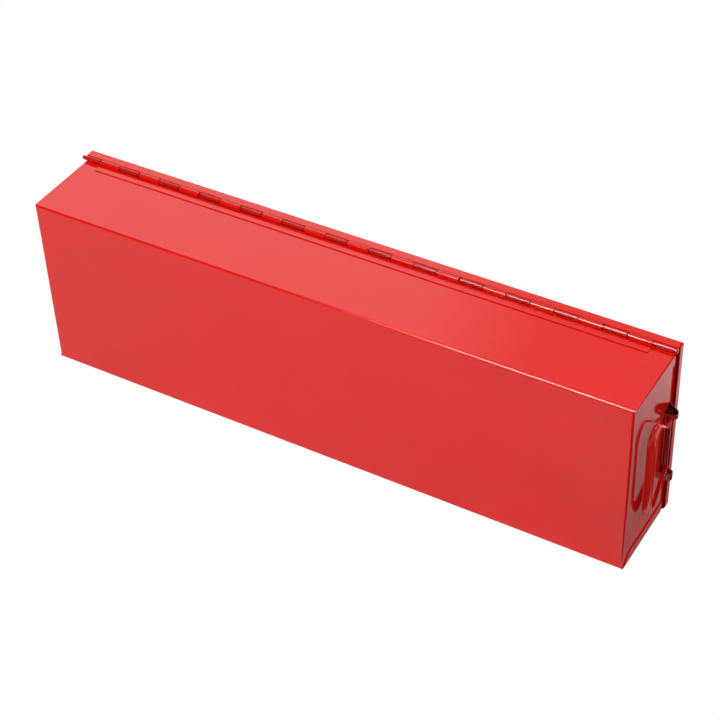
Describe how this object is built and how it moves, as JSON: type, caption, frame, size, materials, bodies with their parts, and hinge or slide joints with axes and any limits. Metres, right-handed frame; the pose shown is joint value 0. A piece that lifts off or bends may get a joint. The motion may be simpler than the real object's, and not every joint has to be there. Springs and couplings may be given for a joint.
{
  "type": "hinged-lid steel tool case",
  "caption": "Long, shallow folded-steel tool case with a full-length piano-hinged lid, bail handles on its ends and quarter-turn catches.",
  "frame": {"origin": "middle of the case along X and Y, at the lowest edge, where the lid's front skirt stands on the floor", "axes": "+X along the length, +Y from the bottom panel to the lid, +Z from the front wall up to the hinged back wall, as pictured"},
  "size_m": [0.6916, 0.104, 0.2105],
  "materials": {
    "case_paint": "gloss",
    "hinge_paint": "gloss",
    "handle_paint": "gloss",
    "zinc": "satin"
  },
  "bodies": {
    "case": {"body_shell": "case_paint", "hinge_body_leaf": "hinge_paint", "hinge_pin": "hinge_paint", "right_upper_loop": "handle_paint", "right_lower_loop": "handle_paint", "left_upper_loop": "handle_paint", "left_lower_loop": "handle_paint", "right_catch_bush": "zinc", "right_catch_nut": "zinc", "left_catch_bush": "zinc", "left_catch_nut": "zinc"},
    "lid": {"lid_tray": "case_paint", "hinge_lid_leaf": "hinge_paint", "right_strike": "zinc", "left_strike": "zinc"},
    "right_handle": {"right_bail": "handle_paint", "right_pivot_rod": "handle_paint"},
    "left_handle": {"left_bail": "handle_paint", "left_pivot_rod": "handle_paint"},
    "right_catch": {"right_catch_plug": "zinc", "right_catch_cam": "zinc", "right_catch_screw": "zinc"},
    "left_catch": {"left_catch_plug": "zinc", "left_catch_cam": "zinc", "left_catch_screw": "zinc"}
  },
  "joints": [
    {"name": "lid_hinge", "type": "hinge", "parent": "case", "child": "lid", "pos_m": [0, 0.0387, 0.2079], "axis": [1, 0, 0], "range_deg": [0, 170]},
    {"name": "right_handle_swing", "type": "hinge", "parent": "case", "child": "right_handle", "pos_m": [0.3371, 0.0297, 0.102], "axis": [0, 0, 1], "range_deg": [-4, 150]},
    {"name": "left_handle_swing", "type": "hinge", "parent": "case", "child": "left_handle", "pos_m": [-0.3371, 0.0297, 0.102], "axis": [0, 0, -1], "range_deg": [-4, 150]},
    {"name": "right_catch_turn", "type": "hinge", "parent": "case", "child": "right_catch", "pos_m": [0.205, 0.026, 0.01], "axis": [0, 0, -1], "range_deg": [0, 90]},
    {"name": "left_catch_turn", "type": "hinge", "parent": "case", "child": "left_catch", "pos_m": [-0.205, 0.026, 0.01], "axis": [0, 0, 1], "range_deg": [0, 90]}
  ]
}
